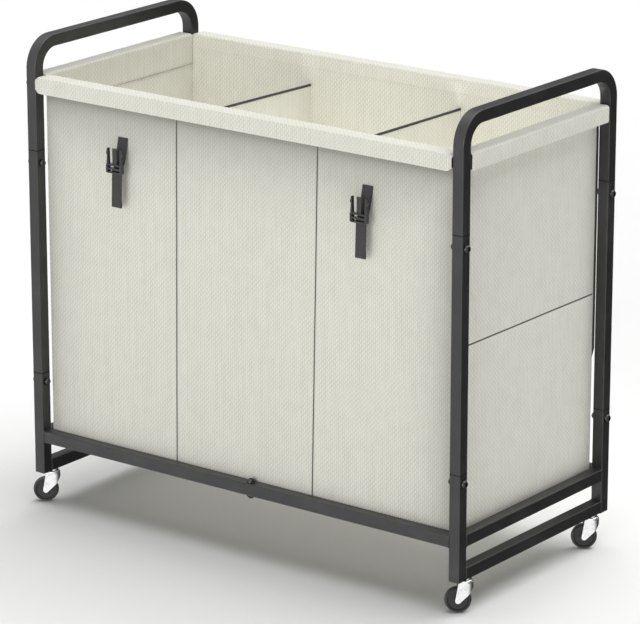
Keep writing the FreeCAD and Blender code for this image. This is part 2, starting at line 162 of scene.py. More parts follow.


# Cream cloth: fine threads, staggered upright slubs, and painted shade: seams and folds drawn dark as if
# sunk into shadow, and cloth darkened under the hems and beside the front uprights.
clothLook = {
    "colour": (0.865, 0.855, 0.77, 1),
    "slubColour": (0.65, 0.64, 0.56, 1),
    "paintedShadeColour": (0.075, 0.072, 0.062, 1),
    "slubAcross": 0.0034,
    "slubUp": 0.0072,
    "thread": 0.0009,
    "bumpDepth": 0.00035,
}


def clothFinish(name, look):
    finish = Finish(name, {"Roughness": 0.9, "Sheen Weight": 0.12, "Sheen Roughness": 0.5})
    across, up, seam = finish.weave()
    where = finish.place()
    wander = finish.cloud(where, 260.0) - 0.5
    column = across / look["slubAcross"] + wander * 0.5
    # every other column of slubs is half a slub higher
    row = up / look["slubUp"] + 0.5 * (column.floor() * 0.5).frac() * 2
    beside = (column.frac() - 0.5).size()
    above = (row.frac() - 0.5).size()
    slub = beside.fade(0.42, 0.16) * above.fade(0.46, 0.26)
    threads = across.wave(look["thread"]) * up.wave(look["thread"])
    mottle = finish.cloud(where, 42.0, 3.0)
    ribs = finish.cloud(finish.stretch(where, (300.0, 300.0, 9.0)), 1.0)
    tone = (1 - slub) * 0.45 + mottle * 0.3 + ribs * 0.35
    colour = finish.blend(tone.fade(0.25, 1.15), look["colour"], look["slubColour"])
    # painted shade: the third weave value blends the cloth towards a dark shade colour along seams and
    # folds, at the side facings' foot, under the hems and beside the uprights
    finish.paint("Base Color", finish.blend(seam.fade(0.12, 0.75), colour, look["paintedShadeColour"]))
    finish.paint("Roughness", 0.84 + mottle * 0.14)
    finish.bump(slub * 0.55 + threads * 0.25 + ribs * 0.2, look["bumpDepth"])
    return finish.material


# Satin powder coat: faint orange peel and a little handling polish.
coatLook = {
    "colour": (0.021, 0.021, 0.022, 1),
    "worn": (0.034, 0.034, 0.034, 1),
    "peel": 900.0,
    "peelDepth": 0.00004,
}


def coatFinish(name, look, roughness):
    finish = Finish(name, {"Specular IOR Level": 0.55, "IOR": 1.5})
    where = finish.place()
    patches = finish.cloud(where, 22.0, 4.0)
    peel = finish.cloud(where, look["peel"], 1.0)
    finish.paint("Base Color", finish.blend(patches.fade(0.42, 0.75), look["colour"], look["worn"]))
    finish.paint("Roughness", roughness + (patches - 0.5) * 0.16 + (peel - 0.5) * 0.06)
    finish.bump(peel, look["peelDepth"])
    return finish.material


# Bright chrome on pressed steel: a soft polish haze and light swirl marks.
chromeLook = {"colour": (0.86, 0.865, 0.87, 1), "haze": (0.66, 0.665, 0.67, 1), "roughness": 0.13}


def chromeFinish(name, look):
    finish = Finish(name, {"Metallic": 1.0})
    where = finish.place()
    haze = finish.cloud(where, 130.0, 3.0)
    swirl = finish.cloud(finish.stretch(where, (500.0, 500.0, 3000.0)), 1.0)
    finish.paint("Base Color", finish.blend(haze.fade(0.45, 0.85), look["colour"], look["haze"]))
    finish.paint("Roughness", look["roughness"] + haze * 0.08 + swirl * 0.06)
    finish.bump(haze, 0.00002)
    return finish.material


# Plated steel that stays dull: brushed along its length.
zincLook = {"colour": (0.5, 0.51, 0.52, 1), "tarnish": (0.36, 0.36, 0.35, 1)}


def zincFinish(name, look):
    finish = Finish(name, {"Metallic": 1.0})
    where = finish.place()
    stain = finish.cloud(where, 70.0, 4.0)
    brushed = finish.cloud(finish.stretch(where, (1600.0, 1600.0, 60.0)), 1.0)
    finish.paint("Base Color", finish.blend(stain.fade(0.4, 0.7), look["colour"], look["tarnish"]))
    finish.paint("Roughness", 0.3 + brushed * 0.2)
    finish.bump(brushed, 0.00002)
    return finish.material


# Moulded plastics: grain depth and gloss set them apart.
plasticLooks = {
    "buckleAcetal": {"colour": (0.012, 0.012, 0.013, 1), "dust": (0.022, 0.022, 0.022, 1),
                     "roughness": 0.2, "grain": 1500.0, "grainDepth": 0.00001, "coat": 0.35},
    "wheelPlastic": {"colour": (0.011, 0.011, 0.011, 1), "dust": (0.03, 0.029, 0.027, 1),
                     "roughness": 0.42, "grain": 900.0, "grainDepth": 0.00003, "coat": 0.0},
    "plugPlastic": {"colour": (0.014, 0.014, 0.014, 1), "dust": (0.03, 0.03, 0.03, 1),
                    "roughness": 0.55, "grain": 700.0, "grainDepth": 0.00004, "coat": 0.0},
    "gapShade": {"colour": (0.002, 0.002, 0.002, 1), "dust": (0.004, 0.004, 0.004, 1),
                 "roughness": 0.8, "grain": 600.0, "grainDepth": 0.00002, "coat": 0.0},
    "boardPlastic": {"colour": (0.62, 0.62, 0.6, 1), "dust": (0.5, 0.5, 0.48, 1),
                     "roughness": 0.5, "grain": 300.0, "grainDepth": 0.00006, "coat": 0.0},
}


def plasticFinish(name, look):
    finish = Finish(name, {"Coat Weight": look["coat"], "Coat Roughness": 0.12})
    where = finish.place()
    dust = finish.cloud(where, 90.0, 4.0)
    grain = finish.cloud(where, look["grain"], 1.0)
    finish.paint("Base Color", finish.blend(dust.fade(0.5, 0.8), look["colour"], look["dust"]))
    finish.paint("Roughness", look["roughness"] + (dust - 0.5) * 0.2)
    finish.bump(grain, look["grainDepth"])
    return finish.material


# Ribbed tapes: ribs run across, cords run along, and the middle catches more light.
tapeLooks = {
    "webbing": {"colour": (0.028, 0.027, 0.03, 1), "light": (0.062, 0.06, 0.064, 1),
                "rib": 0.0014, "cord": 0.0021, "depth": 0.00035},
    "bindingTape": {"colour": (0.012, 0.012, 0.012, 1), "light": (0.03, 0.03, 0.029, 1),
                    "rib": 0.0009, "cord": 0.0012, "depth": 0.0002},
}


def tapeFinish(name, look):
    finish = Finish(name, {"Roughness": 0.8, "Sheen Weight": 0.25, "Sheen Roughness": 0.4})
    across, along, edge = finish.weave()
    where = finish.place()
    fuzz = finish.cloud(where, 900.0)
    cords = across.wave(look["cord"])
    ribs = (along + cords * look["rib"] * 0.35).wave(look["rib"])
    shine = ribs * 0.55 + fuzz * 0.35 + (1 - edge) * 0.2
    finish.paint("Base Color", finish.blend(shine.fade(0.2, 1.0), look["colour"], look["light"]))
    finish.paint("Roughness", 0.72 + fuzz * 0.2)
    finish.bump(ribs * 0.7 + cords * 0.3, look["depth"])
    return finish.material


# Sewing thread: two plies twisted round each other.
def threadFinish(name, colour):
    finish = Finish(name, {"Sheen Weight": 0.3})
    where = finish.place()
    x, y, z = finish.parts(where)
    twist = (x + y + z * 2).wave(0.0007)
    darker = tuple(c * 0.55 for c in colour[:3]) + (1,)
    finish.paint("Base Color", finish.blend(twist, darker, colour))
    finish.paint("Roughness", 0.65 + twist * 0.2)
    finish.bump(twist, 0.0001)
    return finish.material


creamCloth = clothFinish("creamCloth", clothLook)
blackCoat = coatFinish("blackCoat", coatLook, 0.36)
boltCoatLook = {**coatLook, "colour": (0.005, 0.005, 0.005, 1), "worn": (0.01, 0.01, 0.01, 1)}
boltCoat = coatFinish("boltCoat", boltCoatLook, 0.2)
chrome = chromeFinish("chrome", chromeLook)
zinc = zincFinish("zinc", zincLook)
plastics = {name: plasticFinish(name, look) for name, look in plasticLooks.items()}
tapes = {name: tapeFinish(name, look) for name, look in tapeLooks.items()}
creamThread = threadFinish("creamThread", (0.62, 0.61, 0.55, 1))
blackThread = threadFinish("blackThread", (0.07, 0.07, 0.075, 1))
print("finishes mixed")


def boxOf(node):
    low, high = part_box(node)
    return low / mm, high / mm


def makePiece(name, points, faces, finish, weave=None, weaveFaces=None, sharp=40):
    # points are millimetres; weave gives each point its place on the cloth
    mesh = bpy.data.meshes.new(name)
    mesh.from_pydata([tuple(np.array(p) * mm) for p in points], [], [tuple(map(int, f)) for f in faces])
    if weave is not None:
        values = np.array(weave, float).reshape(-1, 3)
        values[:, :2] *= mm
        order = np.concatenate([np.array(f) for f in (weaveFaces or faces)])
        layer = mesh.attributes.new("weave", "FLOAT_VECTOR", "CORNER")
        layer.data.foreach_set("vector", values[order].astype(np.float32).ravel())
    shape = bmesh.new()
    shape.from_mesh(mesh)
    bmesh.ops.recalc_face_normals(shape, faces=shape.faces)
    shape.to_mesh(mesh)
    shape.free()
    mesh.shade_smooth()
    mesh.set_sharp_from_angle(angle=math.radians(sharp))
    mesh.materials.append(finish)
    piece = bpy.data.objects.new(name, mesh)
    bpy.context.scene.collection.objects.link(piece)
    return piece


def stops(low, high, gap, seams=()):
    # evenly spaced places, with closer ones added round each seam
    even = [float(s) for s in np.linspace(low, high, max(2, round((high - low) / gap) + 1))]
    kept = [s for s in even if all(abs(s - seam) > 8 for seam in seams)]
    near = [seam + d for seam in seams for d in (-7, -3.5, -1.8, -0.9, 0, 0.9, 1.8, 3.5, 7)]
    return sorted(kept + near)


def roundedRing(halfX, halfY, radius, stopsX, stopsY, steps=7, rearX=None):
    # once round, seen from above, anticlockwise from the front left corner
    runs = [
        [(s, -halfY) for s in stopsX],
        [(halfX, s) for s in stopsY],
        [(s, halfY) for s in reversed(rearX or stopsX)],
        [(-halfX, s) for s in reversed(stopsY)],
    ]
    places, outward = [], []
    for run, signX, signY, start in zip(runs, (1, 1, -1, -1), (-1, 1, 1, -1), (-90, 0, 90, 180)):
        way = (math.cos(math.radians(start)), math.sin(math.radians(start)))
        places += run
        outward += [way] * len(run)
        for step in range(1, steps):
            turn = math.radians(start + 90 * step / steps)
            way = (math.cos(turn), math.sin(turn))
            x = signX * (halfX - radius) + radius * way[0]
            y = signY * (halfY - radius) + radius * way[1]
            places.append((x, y))
            outward.append(way)
    return np.array(places), np.array(outward)


def noSlide(place, way, height):
    return 0.0


def loft(name, ring, rows, finish, push=None, slide=noSlide):
    # rows are (height, inset); push moves a point outward and gives its seam value, how near a seam plus
    # any painted shade;
    # slide moves it along x
    places, outward = ring
    count = len(places)
    steps = np.linalg.norm(np.roll(places, -1, axis=0) - places, axis=1)
    travel = np.concatenate([[0], np.cumsum(steps)])
    points, weave, faces, weaveFaces = [], [], [], []
    for height, inset in rows:
        for i in range(count + 1):
            place, way = places[i % count], outward[i % count]
            out, seam = push(place, way, height, inset) if push else (0.0, 0.0)
            if i < count:
                points.append((*(place + way * (out - inset) + (slide(place, way, height), 0)), height))
            weave.append((travel[i], height, seam))
    for r in range(len(rows) - 1):
        for i in range(count):
            j = (i + 1) % count
            faces.append((r * count + i, r * count + j, (r + 1) * count + j, (r + 1) * count + i))
            a, b = r * (count + 1) + i, (r + 1) * (count + 1) + i
            weaveFaces.append((a, a + 1, b + 1, b))
    for r in (0, len(rows) - 1):
        # flat ends take the plan as their place on the cloth
        faces.append(range(r * count, (r + 1) * count))
        start = len(weave)
        weave += [(points[r * count + i][0], points[r * count + i][1], 0.0) for i in range(count)]
        weaveFaces.append(range(start, start + count))
    return makePiece(name, points, faces, finish, weave, weaveFaces)


def thickSheet(name, middle, thick, weave, finish):
    # a sheet from its middle surface, a grid of points, given a thickness
    middle = np.array(middle, float)
    rows, cols = middle.shape[:2]
    along = np.gradient(middle, axis=0)
    across = np.gradient(middle, axis=1)
    normal = np.cross(along, across)
    normal /= np.linalg.norm(normal, axis=2, keepdims=True)
    points = np.concatenate([middle + normal * thick / 2, middle - normal * thick / 2]).reshape(-1, 3)
    top = np.arange(rows * cols).reshape(rows, cols)
    under = top + rows * cols
    faces = []
    for layer in (top, under):
        quads = np.stack([layer[:-1, :-1], layer[:-1, 1:], layer[1:, 1:], layer[1:, :-1]], axis=2)
        faces += quads.reshape(-1, 4).tolist()
    for line in ((0, slice(None)), (-1, slice(None)), (slice(None), 0), (slice(None), -1)):
        a, b = top[line], under[line]
        faces += np.stack([a[:-1], a[1:], b[1:], b[:-1]], axis=1).tolist()
    weave = np.array(weave, float).reshape(-1, 3)
    return makePiece(name, points, faces, finish, np.concatenate([weave, weave]))


def bulge(t, low, high, power=6):
    # 1 through the middle of a span and 0 at its ends
    share = min(1.0, max(0.0, (t - low) / (high - low)))
    return 1 - abs(2 * share - 1) ** power


def dip(distance, width):
    return math.exp(-(distance / width) ** 2)


def ripple(a, b, c, size):
    return noise.noise(Vector((a, b, c)) / size)


# The bag: one stiff-walled cloth shell with boards sewn into it.
bagLook = {
    "cornerRadius": 3.2,
    "bottomEdge": 2.2,
    "wall": 3.0,
    "swell": 0.8,         # how far a panel stands out between its seams
    "sideFold": 380.0,
    "grooveDepth": 1.5,
    "grooveWidth": 1.1,
    "ripple": 0.35,
    "frontSeams": {"left": (-128.0, -121.4), "right": (118.0, 128.6)},    # at the bottom and at the top
    "rearSeams": {"left": -139.0, "right": 132.0},
}
frontLow, frontHigh = boxOf("bag_front_panel")
bagX = frontHigh.x
bagY = -frontLow.y
bagBottom = frontLow.z
bagTop = frontHigh.z
sleeveLow = boxOf("front_hem")[0].z
sleeveHigh = boxOf("front_hem")[1].z
frontSeams = [sum(pair) / 2 for pair in bagLook["frontSeams"].values()]
rearSeams = list(bagLook["rearSeams"].values())


def bagPush(place, way, height, inset):
    look = bagLook
    inside = inset > look["wall"] / 2
    straightX = bagX - look["cornerRadius"]
    straightY = bagY - look["cornerRadius"]
    upper = bulge(height, bagBottom, 636)
    # seam carries painted shade: dark lines in the seam grooves and along the side fold, and the shade
    # added below
    seam = 0.0
    if abs(way[1]) > 0.999:
        seams = frontSeams if way[1] < 0 else rearSeams
        bays = zip([-straightX, *seams], [*seams, straightX])
        swell = max(bulge(place[0], *bay) for bay in bays) * upper
        seam = max(dip(place[0] - s, look["grooveWidth"]) for s in seams)
    elif abs(way[0]) > 0.999:
        fold = look["sideFold"]
        swell = max(bulge(height, bagBottom, fold), bulge(height, fold, 636))
        swell *= bulge(place[1], -straightY, straightY)
        seam = dip(height - fold, look["grooveWidth"])
    else:
        return 0.0, 0.0
    waves = look["ripple"] * ripple(place[0] + place[1], height, 7 * way[0] + 3 * way[1], 90) * upper
    if inside:
        return -0.3 * swell + waves, 0.0
    out = look["swell"] * swell + waves - look["grooveDepth"] * seam
    if way[1] < -0.999:
        # painted shade: seam also darkens the cloth under the hem and beside the two front uprights, where
        # less light reaches
        below = max(0.0, sleeveLow - 9 - height)
        under = 0.14 * math.exp(-below / 8) + 0.49 * math.exp(-below / 75)
        right = 0.43 * math.exp(-max(0.0, bagX - 13 - place[0]) / 55)
        left = 0.36 * math.exp(-(bagX + place[0]) / 60)
        seam = max(seam, 0.12 + 0.63 * max(under, right, left))
    return out, seam


def bagSlide(place, way, height):
    # the front seams lean a little, and carry the cloth beside them along
    if way[1] > -0.999:
        return 0.0
    share = (height - bagBottom) / (bagTop - bagBottom) - 0.5
    slide = 0.0
    for middle, (foot, top) in zip(frontSeams, bagLook["frontSeams"].values()):
        slide += (top - foot) * share * max(0.0, 1 - abs(place[0] - middle) / 100)
    return slide


def bagRows():
    look = bagLook
    edge = look["bottomEdge"]
    rows = [(bagBottom, edge + 0.9), (bagBottom, edge + 0.4)]
    for degrees in range(0, 90, 18):
        turn = math.radians(degrees)
        rows.append((bagBottom + edge * (1 - math.cos(turn)), edge * (1 - math.sin(turn))))
    outer = stops(bagBottom + edge, sleeveLow - 30, 14, [look["sideFold"]])
    outer += stops(sleeveLow - 25, bagTop - 1, 5)
    rows += [(z, 0.0) for z in outer]
    rows += [(bagTop - 0.2, 0.5), (bagTop - 0.2, look["wall"] - 0.5)]
    floor = bagBottom + 1.4
    rows += [(z, look["wall"]) for z in reversed(stops(floor + 2, bagTop - 1, 26))]
    rows += [(floor + 0.5, look["wall"] + 0.02), (floor, look["wall"] + 0.1), (floor, look["wall"] + 0.15)]
    return rows


def makeBag():
    look = bagLook
    straightX = bagX - look["cornerRadius"]
    straightY = bagY - look["cornerRadius"]
    ring = roundedRing(
        bagX, bagY, look["cornerRadius"],
        stops(-straightX, straightX, 13, frontSeams), stops(-straightY, straightY, 13),
        rearX=stops(-straightX, straightX, 13, rearSeams),
    )
    shell = loft("bagShell", ring, bagRows(), creamCloth, bagPush, bagSlide)
    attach(shell, mainBody)
    panels = [f"bag_{wall}_panel" for wall in ("front", "rear", "left", "right")]
    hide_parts(*panels, "bag_bottom", "panel_boards")
    return shell


bagShell = makeBag()
print("bag shell sewn")


# Hems: cloth folded over each top rail, its inner facing sewn down inside the bag.
hemLook = {
    "cloth": 1.1,
    "shoulder": 2.9,        # radius along the upper edges
    "underEdge": 1.6,
    "wrinkle": 0.5,
}
# facingFoot is a height, facingAt is measured out from the bag's outer face, footShade darkens the
# facing's foot as painted shade
longHemLook = {"facingFoot": 640.0, "facingAt": -3.2, "endRound": 9.0, "endDrop": 4.2, "footShade": 0.0}
sideHemLook = {"facingFoot": 613.0, "facingAt": -3.8, "endRound": 2.0, "endDrop": 0.9, "footShade": 0.75}


def hemProfile(look, reach, drop):
    # (outward, height, how far it belongs to the facing), from the facing's foot over and down
    half = look["cloth"] / 2
    top = sleeveHigh - half - drop
    bottom = sleeveLow + half + drop
    out = reach - half - 0.4 * drop
    inner, r, u = look["facingAt"], look["shoulder"], look["underEdge"]
    foot = look["facingFoot"]
    path = [(inner, foot, 1.0), (inner, foot + 0.9, 1.0)]
    path += [(inner, z, 1.0) for z in np.linspace(foot + 1.8, top - r, 6)]
    for degrees in (18, 36, 54, 72, 90):
        turn = math.radians(degrees)
        path.append((inner + r * (1 - math.cos(turn)), top - r + r * math.sin(turn), 1 - degrees / 90))
    path += [(inner + r + t * (out - inner - 2 * r), top, 0.0) for t in (0.33, 0.67)]
    for degrees in (0, 18, 36, 54, 72, 90):
        turn = math.radians(degrees)
        path.append((out - r + r * math.sin(turn), top - r + r * math.cos(turn), 0.0))
    path += [(out, top - r - t * (top - r - bottom - u), 0.0) for t in (0.25, 0.5, 0.75, 1)]
    for degrees in (30, 60, 90):
        turn = math.radians(degrees)
        path.append((out - u + u * math.cos(turn), bottom + u - u * math.sin(turn), 0.0))
    path += [(out - u - t * (out - u - 1.0), bottom, 0.0) for t in (0.33, 0.67, 1)]
    return path


def makeHem(name, node, look, toWorld, reach, sleeve, facing):
    # toWorld turns (along, outward, height) into a point; sleeve and facing are (start, end)
    look = {**hemLook, **look}
    length = sleeve[1] - sleeve[0]
    close = [0, 0.25, 0.8, 1.6, 2.8, 4.4, 6.5, 9.0, 13.0]
    along = close + stops(20, length - 20, 16) + [length - d for d in reversed(close)]
    grid, weave = [], []
    for t in along:
        share = t / length
        near = min(t, length - t, look["endRound"])
        drop = look["endRound"] - math.sqrt(look["endRound"] ** 2 - (look["endRound"] - near) ** 2)
        line, cloth, run = [], [], 0.0
        profile = hemProfile(look, reach, min(drop, look["endDrop"]))
        for k, (out, height, inside) in enumerate(profile):
            start = sleeve[0] + (facing[0] - sleeve[0]) * inside
            end = sleeve[1] + (facing[1] - sleeve[1]) * inside
            at = start + (end - start) * share
            calm = min(1.0, near / look["endRound"]) * bulge(k, 0, len(profile) - 1, 4)
            out += look["wrinkle"] * calm * ripple(at, height * 2, len(name), 55)
            height += 0.6 * look["wrinkle"] * calm * ripple(at, height, 40 + len(name), 80)
            if k:
                run += math.dist(profile[k][:2], profile[k - 1][:2])
            line.append(toWorld(at, out, height))
            # the first row, along the facing's foot, gets painted shade: a dark line under the step
            cloth.append((at, run, 0.0 if k else look["footShade"]))
        grid.append(line)
        weave.append(cloth)
    piece = thickSheet(name, grid, look["cloth"], weave, creamCloth)
    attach(piece, mainBody)
    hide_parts(node)
    # run is left from the last row, at the hem's rounded end: mid-hem the cloth is 3 to 16 mm deeper
    return piece


def makeHems():
    longLow, longHigh = boxOf("front_hem")
    reach = -longLow.y - bagY
    inside = bagX + longHemLook["facingAt"] - 1.0
    for end, way in ends.items():
        makeHem(
            f"{end}HemCloth", f"{end}_hem", longHemLook, lambda a, o, h, way=way: (a, way * (bagY + o), h),
            reach, (longLow.x, longHigh.x), (-inside, inside),
        )
    inside = bagY + sideHemLook["facingAt"] - 1.0
    for side, way in sides.items():
        low, high = boxOf(f"{side}_hem")
        makeHem(
            f"{side}HemCloth", f"{side}_hem", sideHemLook,
            lambda a, o, h, way=way: (way * (bagX + o), a, h),
            high.x - low.x, (low.y, high.y), (-inside, inside),
        )


makeHems()
print("hems folded over the rails")


# Stitches: short raised lengths of thread.
stitchLook = {"length": 2.6, "gap": 1.1, "radius": 0.28}


def spindle(start, end, radius, points, faces):
    # a six-sided thread that tapers into the cloth at both ends
    start, end = Vector(start), Vector(end)
    way = (end - start).normalized()
    aside = way.orthogonal().normalized()
    other = way.cross(aside)
    base = len(points)
    for share, thick in ((0.12, 0.75), (0.5, 1.0), (0.88, 0.75)):
        middle = start.lerp(end, share)
        for k in range(6):
            turn = k * math.pi / 3
            points.append(middle + (aside * math.cos(turn) + other * math.sin(turn)) * radius * thick)
    points += [start, end]
    for ring in (base, base + 6):
        edges = [(ring + k, ring + (k + 1) % 6) for k in range(6)]
        faces += [(a, b, b + 6, a + 6) for a, b in edges]
    faces += [(base + k, base + (k + 1) % 6, base + 18) for k in range(6)]
    faces += [(base + 12 + k, base + 12 + (k + 1) % 6, base + 19) for k in range(6)]


def stitchRows(name, rows, finish, look=stitchLook):
    # rows are (start, end) pairs of points
    points, faces = [], []
    for start, end in rows:
        start, end = Vector(start), Vector(end)
        count = max(1, round(((end - start).length + look["gap"]) / (look["length"] + look["gap"])))
        step = (end - start) / count
        for k in range(count):
            sewn = look["length"] / (look["length"] + look["gap"])
            spindle(start + step * k, start + step * (k + sewn), look["radius"], points, faces)
    return makePiece(name, points, faces, finish, sharp=80)


def makeHemStitches():
    # a row along each side wall, a little above the foot of its facing
    z = sideHemLook["facingFoot"] + 2.4
    x = bagX + sideHemLook["facingAt"] - hemLook["cloth"] / 2 - 0.05
    y = bagY + sideHemLook["facingAt"] - 3.5
    rows = [((s * x, -y, z), (s * x, y, z)) for s in (-1, 1)]
    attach(stitchRows("hemStitches", rows, creamThread), mainBody)


makeHemStitches()
print("facings stitched")


# Dividers: cloth-covered boards with a thin black tape folded over the upper edge.
dividerLook = {
    "front": {"left": (-125.0, 627.0), "right": (126.0, 618.5)},     # x and height of the upper edge
    "rear": {"left": (-139.0, 613.0), "right": (132.0, 616.5)},
    "thick": 2.8,
    "bow": 1.2,
    "tape": 0.45,
    "tapeHalf": 1.62,
    "tapeHigh": 3.0,
}
insideY = boxOf("right_divider")[1].y
floorZ = boxOf("right_divider")[0].z


def dividerPlace(side, y, share):
    # x and height of a point that share of the way up a divider
    look = dividerLook
    back = 0.5 + y / (2 * insideY)
    x, top = np.array(look["front"][side]) * (1 - back) + np.array(look["rear"][side]) * back
    x += sides[side] * look["bow"] * bulge(y, -insideY, insideY, 2) * bulge(share, 0.0, 1.1, 2)
    return x, floorZ + 0.3 + share * (top - 1 - floorZ)


def makeDivider(side):
    look = dividerLook
    grid, weave = [], []
    for y in stops(0.2 - insideY, insideY - 0.2, 15):
        column = [dividerPlace(side, y, share) for share in np.linspace(0, 1, 24)]
        grid.append([(x, y, z) for x, z in column])
        weave.append([(y, z, 0.0) for x, z in column])
    panel = thickSheet(f"{side}DividerCloth", grid, look["thick"], weave, creamCloth)
    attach(panel, mainBody)
    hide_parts(f"{side}_divider")

    half, high = look["tapeHalf"], look["tapeHigh"]
    path = [(-half, -high), (-half, -high / 2 - half / 2)]
    turns = [math.radians(degrees) for degrees in range(0, 181, 20)]
    path += [(-half * math.cos(a), half * 0.6 * (math.sin(a) - 1)) for a in turns]
    path += [(half, -high / 2 - half / 2), (half, -high)]
    grid, weave, rows = [], [], []
    for y in stops(0.3 - insideY, insideY - 0.3, 8):
        x, top = dividerPlace(side, y, 1.0)
        top += 0.9
        sway = 0.12 * ripple(y, 0, 12 * sides[side], 14)
        grid.append([(x + a, y, top + b + sway * (b < -1.5)) for a, b in path])
        weave.append([(0.9 * k, y, 0.0) for k in range(len(path))])
    tape = thickSheet(f"{side}BindingTape", grid, look["tape"], weave, tapes["bindingTape"])
    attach(tape, mainBody)
    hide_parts("divider_bindings")

    ys = stops(3 - insideY, insideY - 3, 20)
    for face in (-1, 1):
        line = []
        for y in ys:
            x, top = dividerPlace(side, y, 1.0)
            line.append((x + face * (half + look["tape"] / 2 + 0.05), y, top - 1.4))
        rows += zip(line, line[1:])
    fine = {"length": 2.0, "gap": 1.0, "radius": 0.16}
    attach(stitchRows(f"{side}BindingStitches", rows, blackThread, fine), mainBody)


for side in sides:
    makeDivider(side)
print("dividers bound")


# Bottom boards: three loose cloth-covered boards with soft corners, cut to each compartment's plan.
def makeBottomBoards():
    low, high = boxOf("bottom_boards")
    gap = low.x + bagX - bagLook["wall"]
    clear = dividerLook["thick"] / 2 + gap
    edges = [(low.x, low.x)]
    for side in sides:
        front, rear = (dividerPlace(side, y, 0.0)[0] for y in (-high.y, high.y))
        edges += [(front - clear, rear - clear), (front + clear, rear + clear)]
    edges.append((high.x, high.x))
    for k, place in enumerate(("left", "middle", "right")):
        near, far = edges[2 * k], edges[2 * k + 1]
        halfX, halfY, radius = (sum(far) - sum(near)) / 4, high.y, 6.0
        spanX = stops(radius - halfX, halfX - radius, 20)
        spanY = stops(radius - halfY, halfY - radius, 20)
        plan, outward = roundedRing(halfX, halfY, radius, spanX, spanY, 5)
        for point in plan:
            back = 0.5 + point[1] / (2 * halfY)
            x0, x1 = (a + back * (b - a) for a, b in (near, far))
            point[0] = x0 + (0.5 + point[0] / (2 * halfX)) * (x1 - x0)
        base, top = low.z + 0.1, high.z
        rows = [(base, 4.0), (base, 0.8), (base + 0.5, 0.1)]
        rows += [(top - 0.8, 0.0), (top - 0.3, 0.3), (top, 1.0), (top, 4.0)]
        board = loft(f"{place}BottomBoard", (plan, outward), rows, creamCloth)
        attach(board, mainBody)
        if k == 0:
            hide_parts("bottom_boards")


makeBottomBoards()
print("bottom boards laid")


# Corner strips: a thin black strip down each of the bag's rear edges, beside the uprights, in the binding
# tape's finish.
cornerStripLook = {"foot": 285.0, "cut": 14.0, "thick": 1.0, "width": 3.2}


def makeCornerStrip(side):
    look = cornerStripLook
    way = sides[side]
    top = sleeveLow + 3
    x = bagX - 0.3
    grid, weave = [], []
    for share in np.linspace(0, 1, 40):
        row, cloth = [], []
        for across in np.linspace(0, 1, 5):
            # the lower end is cut on a slant
            foot = look["foot"] + look["cut"] * across
            z = foot + share * (top - foot)
            sway = 0.15 * ripple(z, 3 * across, 5 * way, 30)
            row.append((way * (x + across * look["width"] * 0.72), bagY - 2.2 + across * 2.4 + sway, z))
            cloth.append((across * look["width"], z, 0.0))
        grid.append(row)
        weave.append(cloth)
    tape = thickSheet(f"{side}CornerStrip", grid, look["thick"], weave, tapes["bindingTape"])
    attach(tape, mainBody)


for side in sides:
    makeCornerStrip(side)
print("corner tapes sewn")


# Straps: webbing sewn flat at the top, bowed out through the buckle, its tail hanging.
strapLook = {
    "thick": 1.15,
    "straightTop": 37.0,
    "buckleTop": 545.0,
    "tailStart": 542.0,
    "reach": 17.0,
    "backStep": 3.2,
    "foldHeight": 11.0,
    "edge": 1.2,
}


def roundedPath(points, radii, steps=6):
    # straight runs joined by arcs, as a list of points
    path = [Vector(points[0])]
    for before, corner, after, radius in zip(points, points[1:], points[2:], radii):
        corner = Vector(corner)
        a, b = (Vector(before) - corner).normalized(), (Vector(after) - corner).normalized()
        half = a.angle(b) / 2
        reach = radius / math.tan(half)
        middle = corner + (a + b).normalized() * (radius / math.sin(half))
        first, last = corner + a * reach - middle, corner + b * reach - middle
        path += [middle + first.slerp(last, k / steps) for k in range(steps + 1)]
    path.append(Vector(points[-1]))
    return path


def spacedPath(path, gap):
    # the same line with points no further apart than gap
    close = [path[0]]
    for a, b in zip(path, path[1:]):
        count = max(1, math.ceil((b - a).length / gap))
        close += [a.lerp(b, (k + 1) / count) for k in range(count)]
    return close


